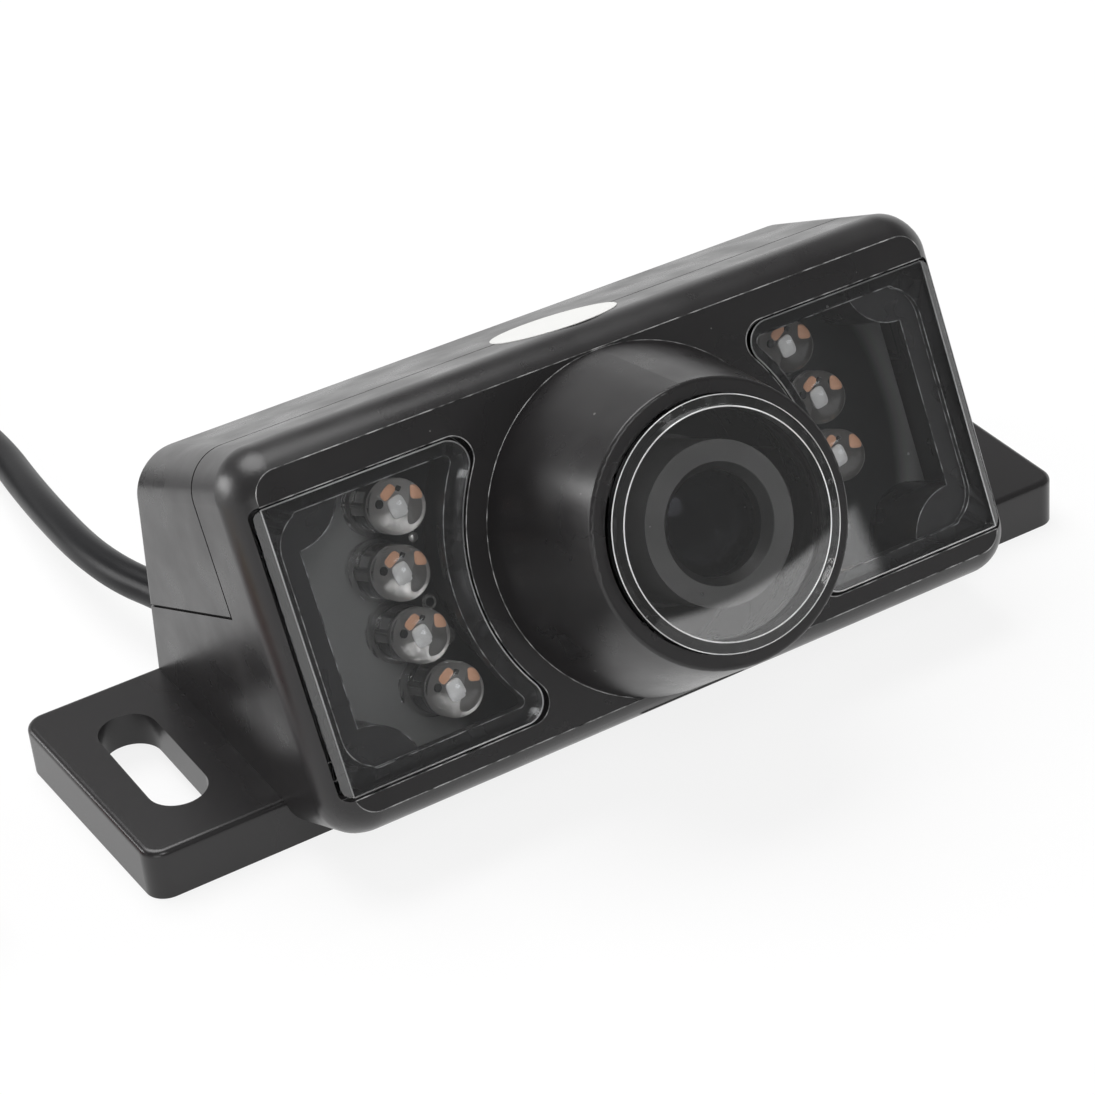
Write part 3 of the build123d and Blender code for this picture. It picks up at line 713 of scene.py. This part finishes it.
class FinishWindows(bpy.types.Operator):
    """Glaze the two windows, run the clear glue round them and paint highlight lines along the face's edges
    """

    bl_idname = "reversing_camera.windows"
    bl_label = "Windows"

    def execute(self, context):
        look = context.scene.rc_glass
        acrylic = Finish("polished acrylic", tuple(look.window), 0.0, Transmission_Weight=1.0, IOR=1.49)
        dust = acrylic.group("dust specks", make_dust, Share=0.12)
        clear = (*look.window, 1)
        acrylic.drive("Base Color", mix_colours(acrylic.tree, dust["Mask"], clear, (0.3, 0.3, 0.3, 1)))
        acrylic.drive("Roughness", math_node(acrylic.tree, "MULTIPLY", dust["Mask"], 0.4))
        acrylic.let_light_through((0.85, 0.85, 0.85))
        give(acrylic.material, "left_window", "right_window")
        self.lay_glue_and_highlights()
        return {"FINISHED"}

    def lay_glue_and_highlights(self):
        """Glue in the gap round each plate, painted pale grey as the bright line along it, and fine beads on
        the moulded edges of the face and the seats, painted grey as the highlights those edges catch.
        """
        # Painted highlight: the glue is real, but its pale grey stands in for the bright line it shows.
        glue = grained("clear glue", (0.4, 0.4, 0.4), 0.15, 0.8 * MM, 0.05 * MM, mottle=0.6)
        # Painted highlight: grey beads on the near-black plastic stand in for the light that the rounded
        # edges catch.
        moulded = grained("painted edge highlight", (0.2, 0.2, 0.2), 0.25, 0.04 * MM, 0.002 * MM, mottle=0.9)
        for side in ("left", "right"):
            high = lens_box(f"{side}_window")[1]
            shape = bmesh.new()
            for loop in outlines(f"{side}_window", high.z):
                sunk = [point - LENS.col[2].xyz * 0.12 * MM for point in loop]
                bead(shape, sunk, 0.07 * MM)
            link_piece(f"{side}_glue_highlight_line", to_mesh(f"{side}_glue_highlight_line", shape), glue.material)
        shape = bmesh.new()
        seat = lens_box("left_window")[0].z
        for level in (0, seat, seat - 0.6 * MM):
            for loop in outlines("front_housing", level):
                bead(shape, loop, 0.05 * MM)
        link_piece("painted_edge_highlights", to_mesh("painted_edge_highlights", shape), moulded.material)


class FinishLens(bpy.types.Operator):
    """Finish the lens and its cover glass"""

    bl_idname = "reversing_camera.lens"
    bl_label = "Lens"

    def execute(self, context):
        look = context.scene.rc_glass
        glass = Finish("optical glass", tuple(look.lens), 0.0, Transmission_Weight=1.0, IOR=1.52)
        dust = glass.group("dust specks", make_dust, Spacing=1.1 * MM, Share=0.12)
        clear = (*look.lens, 1)
        glass.drive("Base Color", mix_colours(glass.tree, dust["Mask"], clear, (0.4, 0.4, 0.4, 1)))
        glass.drive("Roughness", math_node(glass.tree, "MULTIPLY", dust["Mask"], 0.5))
        glass.let_light_through((0.9, 0.9, 0.9))
        give(glass.material, "lens_glass")
        # Painted shade: both coated elements are tinted almost black, standing in for the dark inside of the
        # lens.
        for part, bend, tint in (("front", 1.15, (0.8, 0.85, 1)), ("rear", 1.6, (1, 0.08, 0.1))):
            shade_tinted_coated = Finish(
                f"{part} coated glass",
                (0.06, 0.06, 0.07),
                0.0,
                Transmission_Weight=1.0,
                IOR=bend,
                Specular_Tint=(*tint, 1),
            )
            specks = shade_tinted_coated.group("dust specks", make_dust, Spacing=0.9 * MM, Share=0.1)
            shade_tinted_coated.drive("Roughness", math_node(shade_tinted_coated.tree, "MULTIPLY", specks["Mask"], 0.3))
            give(shade_tinted_coated.material, f"{part}_element")
        metal = grained("black anodised metal", (0.05, 0.05, 0.05), 0.4, 0.2 * MM, 0.004 * MM)
        mouth = lens_box("front_element")[1].x + 0.75 * MM
        inside = ramp_node(metal.tree, metal.from_axis(), mouth - 0.1 * MM, mouth)
        black = (0.003, 0.003, 0.003, 1)
        metal.drive("Base Color", mix_colours(metal.tree, inside, black, metal.colour))
        give(metal.material, "lens_barrel", "lens_lock_ring")
        holder = moulded_finish("holder plastic", (0.01, 0.01, 0.01), 0.6, 0.3 * MM, 0.01 * MM)
        give(holder, "lens_holder")
        red = grained(
            "infrared filter", (0.5, 0.03, 0.04), 0.08, 1.0 * MM, 0.001 * MM, Transmission_Weight=0.6
        )
        give(red.material, "infrared_filter")
        sensor = grained("sensor", (0.03, 0.03, 0.05), 0.15, 0.3 * MM, 0.001 * MM, mottle=0.5)
        give(sensor.material, "image_sensor")
        self.paint_bevel_highlights()
        return {"FINISHED"}

    def paint_bevel_highlights(self):
        """The fine ground lines where the cover glass is bevelled, painted near white as the highlights
        along the bevel.
        """
        high = lens_box("lens_glass")[1]
        ground = grained("ground glass edge painted as highlight", (0.95, 0.95, 0.95), 0.3, 0.15 * MM, 0.02 * MM, mottle=0.4)
        shape = bmesh.new()
        inner = high.x - 1.05 * MM
        edge = high.x - 0.04 * MM
        for radius, down, width in ((inner, 0.045 * MM, 0.065 * MM), (edge, 0.29 * MM, 0.05 * MM)):
            outline = round_outline(radius, high.z - down, width, width, 8)
            lathe(shape, outline, LENS, steps=128, closed=True)
        link_piece("glass_edge_highlight", to_mesh("glass_edge_highlight", shape), ground.material)


class FinishBoards(bpy.types.Operator):
    """Finish the boards and what is soldered or screwed to them"""

    bl_idname = "reversing_camera.boards"
    bl_label = "Boards"

    def execute(self, context):
        board = grained("solder mask with painted shade", (0.24, 0.24, 0.235), 0.45, 1.2 * MM, 0.01 * MM)
        # Painted shade: the board is painted black within about 27 mm of a line 5.3 mm to the right of the
        # lens axis, where the lens barrel shades it, and is grey solder mask beyond.
        beside, shade_edge_from, shade_edge_to = 5.3 * MM, 26.6 * MM, 29.0 * MM
        out_of_shade = ramp_node(board.tree, board.from_axis(beside), shade_edge_from, shade_edge_to)
        board.drive("Base Color", mix_colours(board.tree, out_of_shade, BLACK, board.colour))
        give(board.material, "led_board", "camera_board")
        self.solder_pads()
        steel = grained("plated steel", (0.6, 0.6, 0.6), 0.3, 0.2 * MM, 0.01 * MM, Metallic=1.0)
        give(steel.material, "led_board_screws", "camera_board_screws", "cover_screws")
        nylon = grained("nylon", (0.8, 0.78, 0.7), 0.5, 0.3 * MM, 0.01 * MM, mottle=0.05)
        give(nylon.material, "board_connector")
        self.paint_cross_shades()
        return {"FINISHED"}

    def paint_cross_shades(self):
        """A thin dark cross on the head of each cover screw, on the underside: painted shade where the cross
        recess would be; the recess is not cut.
        """
        dark = grained("painted recess shade", (0.015, 0.015, 0.015), 0.5, 0.2 * MM, 0.01 * MM)
        low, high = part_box("cover_screws")
        radius = (high.y - low.y) / 2
        shape = bmesh.new()
        for across in (low.x + radius, high.x - radius):
            place = Matrix.Translation((across, (low.y + high.y) / 2, low.z))
            for turn in (radians(20), radians(110)):
                arm = place @ Matrix.Rotation(turn, 4, "Z")
                plate(shape, arm, 1.3 * radius, 0.26 * radius, 0.06 * MM)
        link_piece("screw_recess_shades", to_mesh("screw_recess_shades", shape), dark.material)

    def solder_pads(self):
        """Tinned pads and a plated hole on the LED board, beside the left LEDs."""
        tin = grained("tinned pad", (0.7, 0.69, 0.66), 0.25, 0.3 * MM, 0.03 * MM, Metallic=0.8)
        top = lens_box("infrared_led_1")[0].z
        shape = bmesh.new()
        for across, up, outer, hole in (
            (-17.9, 4.4, 0.45, 0.0),
            (-18.3, -1.6, 0.75, 0.4),
            (-17.7, -5.0, 0.85, 0.0),
            (24.5, -9.9, 0.5, 0.0),
        ):
            place = LENS @ Matrix.Translation((across * MM, up * MM, top))
            rim = outer * MM
            if hole:
                outline = [(hole * MM, 0), (hole * MM, 0.12 * MM), (rim * 0.8, 0.15 * MM), (rim, 0)]
                lathe(shape, outline, place, closed=True)
            else:
                lathe(shape, [(0, 0.2 * MM), (rim * 0.6, 0.15 * MM), (rim, 0.0)], place)
        link_piece("solder_pads", to_mesh("solder_pads", shape), tin.material)


class FinishLeds(bpy.types.Operator):
    """Cast the LEDs in clear resin round their lead frames"""

    bl_idname = "reversing_camera.leds"
    bl_label = "LEDs"

    def execute(self, context):
        resin = Finish("clear resin", (0.97, 0.96, 0.95), 0.0, Transmission_Weight=1.0, IOR=1.54)
        dust = resin.group("dust specks", make_dust, Spacing=0.9 * MM, Share=0.1)
        resin.drive("Roughness", math_node(resin.tree, "MULTIPLY", dust["Mask"], 0.4))
        resin.let_light_through((0.95, 0.95, 0.95))
        leds = sorted(name for name in nodes if name.startswith("infrared_led"))
        give(resin.material, *leds)
        silver = grained("silvered frame", (0.38, 0.37, 0.36), 0.32, 0.3 * MM, 0.02 * MM, Metallic=0.7)
        white = grained("silvered die pad", (0.92, 0.92, 0.91), 0.3, 0.5 * MM, 0.06 * MM, Metallic=0.0)
        copper = grained("copper flags", (0.85, 0.47, 0.3), 0.35, 0.4 * MM, 0.02 * MM, Metallic=0.1)
        dark = grained("dark post", (0.02, 0.02, 0.02), 0.4, 0.3 * MM, 0.01 * MM)
        shapes = {
            "led_bowls": bmesh.new(),
            "led_die_pads": bmesh.new(),
            "led_flags": bmesh.new(),
            "led_posts": bmesh.new(),
        }
        for name in leds:
            low, high = lens_box(name)
            heart = Vector(((low.x + high.x) / 2, (low.y + high.y) / 2, high.z - 2.5 * MM))
            self.add_frame(shapes, LENS @ Matrix.Translation(heart), heart.z - low.z)
        for (name, shape), finish in zip(shapes.items(), (silver, white, copper, dark)):
            link_piece(name, to_mesh(name, shape), finish.material)
        window = grained("sensor window", (0.55, 0.4, 0.25), 0.15, 0.5 * MM, 0.01 * MM)
        give(window.material, "light_sensor")
        return {"FINISHED"}

    def add_frame(self, shapes, heart, height):
        """One lead frame; heart is the centre of the dome, height its distance from the board."""
        pad = heart @ Matrix.Rotation(radians(12), 4, "Z") @ Matrix.Rotation(radians(8), 4, "X")
        pebble(shapes["led_die_pads"], pad, 1.05 * MM, 1.3 * MM, 0.16 * MM)
        bowl = [(0.35, -2.5), (1.3, -2.4), (2.1, -1.3), (2.2, -1.3), (2.2, -1.5), (1.4, -2.6), (0.35, -2.7)]
        lathe(shapes["led_bowls"], [(a * MM, b * MM) for a, b in bowl], heart, closed=True)
        for across, up, width, depth, turn in (
            (-0.33, 1.05, 1.1, 0.75, 0.5),
            (1.32, 0.42, 0.7, 0.85, -0.3),
        ):
            place = heart @ Matrix.Translation((across * MM, up * MM, -0.05 * MM))
            place = place @ Matrix.Rotation(turn, 4, "Z")
            pebble(shapes["led_flags"], place, width * MM, depth * MM, 0.08 * MM)
        post = heart @ Matrix.Translation((-1.18 * MM, 0.56 * MM, 0))
        lathe(shapes["led_posts"], [(0.0, 0.1 * MM), (0.3 * MM, 0.1 * MM), (0.3 * MM, -0.1 * MM)], post)
        wedge = heart @ Matrix.Translation((0.38 * MM, 1.0 * MM, 0)) @ Matrix.Rotation(0.8, 4, "Z")
        plate(shapes["led_posts"], wedge, 0.34 * MM, 0.3 * MM, 0.16 * MM)
        for across in (-0.6, 0.6):
            leg = heart @ Matrix.Translation((across * MM, 0, (-2.7 * MM - height) / 2))
            plate(shapes["led_bowls"], leg, 0.5 * MM, 0.5 * MM, height - 2.75 * MM)


class FinishSockets(bpy.types.Operator):
    """Finish the video and the power socket, with grip ribs and the rings of the video shell"""

    bl_idname = "reversing_camera.sockets"
    bl_label = "Sockets"

    def execute(self, context):
        yellow = moulded_finish("yellow boot", (0.75, 0.5, 0.02), 0.4, 0.5 * MM, 0.01 * MM)
        red = moulded_finish("red boot", (0.24, 0.008, 0.008), 0.4, 0.5 * MM, 0.01 * MM)
        nickel = grained("nickel", (0.75, 0.74, 0.72), 0.2, 0.25 * MM, 0.002 * MM, Metallic=1.0)
        insulator = grained("insulator", (0.7, 0.68, 0.6), 0.5, 0.3 * MM, 0.01 * MM)
        give(yellow, "video_boot")
        give(red, "power_boot")
        give(nickel.material, "video_shell", "video_contact", "power_sleeve", "power_pin")
        give(insulator.material, "video_insulator")
        self.rib_boot("video", yellow, "video_yellow")
        self.rib_boot("power", red, "power_red")
        rings = bmesh.new()
        low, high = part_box("video_shell")
        place = Matrix.Translation(((low.x + high.x) / 2, low.y, (low.z + high.z) / 2))
        place = place @ Matrix.Rotation(-pi / 2, 4, "X")
        radius = (high.x - low.x) / 2
        for away in (2.4, 3.0):
            outline = round_outline(radius, away * MM, 0.12 * MM, 0.2 * MM, 10)
            lathe(rings, outline, place, steps=64, closed=True)
        link_piece("shell_rings", to_mesh("shell_rings", rings), nickel.material)
        return {"FINISHED"}

    def rib_boot(self, use, material, slot):
        """Real grip ribs round a boot, held inside the room that the whole part takes."""
        low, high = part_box(f"{use}_boot")
        radius = (high.x - low.x) / 2
        place = Matrix.Translation(((low.x + high.x) / 2, 0, (low.z + high.z) / 2))
        place = place @ Matrix.Rotation(-pi / 2, 4, "X")
        shape = bmesh.new()
        for along in (4.8, 6.4, 8.0, 9.6, 11.2):
            outline = round_outline(radius, along * MM, 0.16 * MM, 0.38 * MM, 12)
            lathe(shape, outline, place, steps=72, closed=True)
        for vert in shape.verts:
            vert.co.x = max(vert.co.x, model_box[0].x)
            vert.co.z = max(vert.co.z, model_box[0].z)
        link_piece(f"{use}_boot_ribs", to_mesh(f"{use}_boot_ribs", shape), material)


class StickSeal(bpy.types.Operator):
    """Stick the bare round seal over the parting on top"""

    bl_idname = "reversing_camera.seal"
    bl_label = "Seal"

    def execute(self, context):
        seal = context.scene.rc_seal
        paper = grained("paper seal", (0.66, 0.66, 0.645), 0.45, 0.35 * MM, 0.004 * MM, mottle=0.04)
        top = lens_box("rear_cover")[1].y
        shape = bmesh.new()
        place = LENS @ Matrix.Translation((seal.sideways, top, -seal.depth)) @ Matrix.Rotation(
            -pi / 2, 4, "X"
        )
        lathe(shape, [(0, 0.06 * MM), (seal.radius, 0.06 * MM), (seal.radius, 0)], place, steps=96)
        link_piece("paper_seal", to_mesh("paper_seal", shape), paper.material)
        return {"FINISHED"}


class SetUpStudio(bpy.types.Operator):
    """Lay the pale floor and hang the soft lamps"""

    bl_idname = "reversing_camera.studio"
    bl_label = "Studio"

    def execute(self, context):
        studio = context.scene.rc_studio
        context.scene.view_settings.view_transform = "Standard"
        self.lay_floor()
        self.light_surround(context.scene, studio)
        self.hang("key_lamp", (-0.06, 0.28, 0.72), (0, 0, 0.01), 0.65, studio.key)
        self.hang("fill_lamp", (-0.62, 0.45, 0.2), (0, 0, 0.02), 0.35, studio.fill)
        self.hang("front_lamp", (-0.15, -0.6, 0.62), (0, 0, 0.02), 0.3, studio.front)
        return {"FINISHED"}

    def lay_floor(self):
        """Pale paper floor, just under the part, that keeps the part's shadow."""
        shape = bmesh.new()
        bmesh.ops.create_grid(shape, x_segments=2, y_segments=2, size=3)
        mesh = bpy.data.meshes.new("floor")
        shape.to_mesh(mesh)
        shape.free()
        floor = bpy.data.objects.new("floor", mesh)
        floor.location.z = -0.0001
        bpy.context.scene.collection.objects.link(floor)
        paper = Finish("white paper", (0.9, 0.9, 0.9), 0.8)
        tree = paper.tree
        path = tree.nodes.new("ShaderNodeLightPath").outputs
        seen = math_node(
            tree,
            "MAXIMUM",
            math_node(tree, "MAXIMUM", path["Is Camera Ray"], path["Is Glossy Ray"]),
            path["Is Transmission Ray"],
        )
        glow = add_node(tree, "ShaderNodeEmission", {"Color": (1, 1, 1, 1), "Strength": 1.0})
        mixed = add_node(
            tree,
            "ShaderNodeMixShader",
            {0: math_node(tree, "MULTIPLY", seen, 0.85), 1: paper.shader.outputs[0], 2: glow.outputs[0]},
        )
        tree.links.new(mixed.outputs[0], tree.nodes["Material Output"].inputs["Surface"])
        mesh.materials.append(paper.material)

    def light_surround(self, scene, studio):
        """The room: a pale sweep behind, a card at the left and one at the front right."""
        world = bpy.data.worlds.new("surround")
        world.use_nodes = True
        scene.world = world
        tree = world.node_tree
        background = tree.nodes["Background"]
        towards = tree.nodes.new("ShaderNodeTexCoord").outputs["Generated"]
        parts = add_node(tree, "ShaderNodeSeparateXYZ", {"Vector": towards}).outputs
        behind = ramp_node(tree, parts["Y"], -0.15, 0.3)
        near_floor = ramp_node(tree, parts["Z"], 0.45, 0.1)
        sweep = math_node(tree, "MULTIPLY", behind, near_floor)
        # the low pale card at the front right, in parts of a unit direction; its top edge is bowed
        card_middle, card_bow = 0.43, 6.6
        card_top, card_left, card_right = (-0.2115, -0.2155), (0.398, 0.408), (0.485, 0.479)
        lift = math_node(tree, "SUBTRACT", parts["X"], card_middle)
        lift = math_node(tree, "MULTIPLY", math_node(tree, "MULTIPLY", lift, lift), card_bow)
        height = vector_node(tree, "DOT_PRODUCT", towards, LENS.col[1].xyz)["Value"]
        card = ramp_node(tree, math_node(tree, "SUBTRACT", height, lift), *card_top)
        card = math_node(tree, "MULTIPLY", card, ramp_node(tree, parts["X"], *card_left))
        card = math_node(tree, "MULTIPLY", card, ramp_node(tree, parts["X"], *card_right))
        to_left_card = (-0.65, -0.74, 0.12)
        left = vector_node(tree, "DOT_PRODUCT", towards, to_left_card)["Value"]
        left = ramp_node(tree, left, 0.93, 0.97)
        pale = math_node(tree, "MAXIMUM", sweep, math_node(tree, "MAXIMUM", left, card))
        room = ramp_node(tree, pale, 0, 1, studio.surround, 1.0)
        lit = math_node(tree, "MAXIMUM", card, left)
        room = math_node(tree, "ADD", room, math_node(tree, "MULTIPLY", lit, studio.card))
        # the view, and the metal and glass that look back at the sweep, all see it white
        path = tree.nodes.new("ShaderNodeLightPath").outputs
        mirrored = math_node(tree, "MAXIMUM", path["Is Glossy Ray"], path["Is Transmission Ray"])
        mirrored = math_node(tree, "MULTIPLY", mirrored, sweep)
        seen = math_node(tree, "MAXIMUM", path["Is Camera Ray"], mirrored)
        strength = add_node(tree, "ShaderNodeMapRange", {"Value": seen, "To Min": room, "To Max": 1.0})
        background.inputs["Color"].default_value = (1, 1, 1, 1)
        tree.links.new(strength.outputs["Result"], background.inputs["Strength"])

    def hang(self, name, place, aim, size, power):
        """A round soft lamp at place, turned towards aim."""
        lamp = bpy.data.lights.new(name, "AREA")
        lamp.shape = "DISK"
        lamp.size = size
        lamp.energy = power
        holder = bpy.data.objects.new(name, lamp)
        holder.location = place
        holder.rotation_mode = "QUATERNION"
        holder.rotation_quaternion = (Vector(aim) - Vector(place)).to_track_quat("-Z", "Y")
        bpy.context.scene.collection.objects.link(holder)


PIECES = (
    SetUpView,
    LayCable,
    LayTails,
    FinishHousing,
    FinishWindows,
    FinishLens,
    FinishBoards,
    FinishLeds,
    FinishSockets,
    StickSeal,
    SetUpStudio,
)
SETTINGS = {
    "rc_cable": CableSizes,
    "rc_housing": HousingFinish,
    "rc_glass": GlassFinish,
    "rc_seal": SealSizes,
    "rc_studio": Studio,
}


class ShowPieces(bpy.types.Panel):
    """All pieces of the camera, in the order in which they are made"""

    bl_idname = "VIEW3D_PT_reversing_camera"
    bl_label = "Reversing camera"
    bl_space_type = "VIEW_3D"
    bl_region_type = "UI"
    bl_category = "Reversing camera"

    def draw(self, context):
        for piece in PIECES:
            self.layout.operator(piece.bl_idname)


def register():
    for made in (*SETTINGS.values(), *PIECES, ShowPieces):
        bpy.utils.register_class(made)
    for name, group in SETTINGS.items():
        setattr(bpy.types.Scene, name, bpy.props.PointerProperty(type=group))


def unregister():
    for name in SETTINGS:
        delattr(bpy.types.Scene, name)
    for made in reversed((*SETTINGS.values(), *PIECES, ShowPieces)):
        bpy.utils.unregister_class(made)


def main():
    register()
    for piece in PIECES:
        family, name = piece.bl_idname.split(".")
        getattr(getattr(bpy.ops, family), name)()


if __name__ == "__main__":
    main()
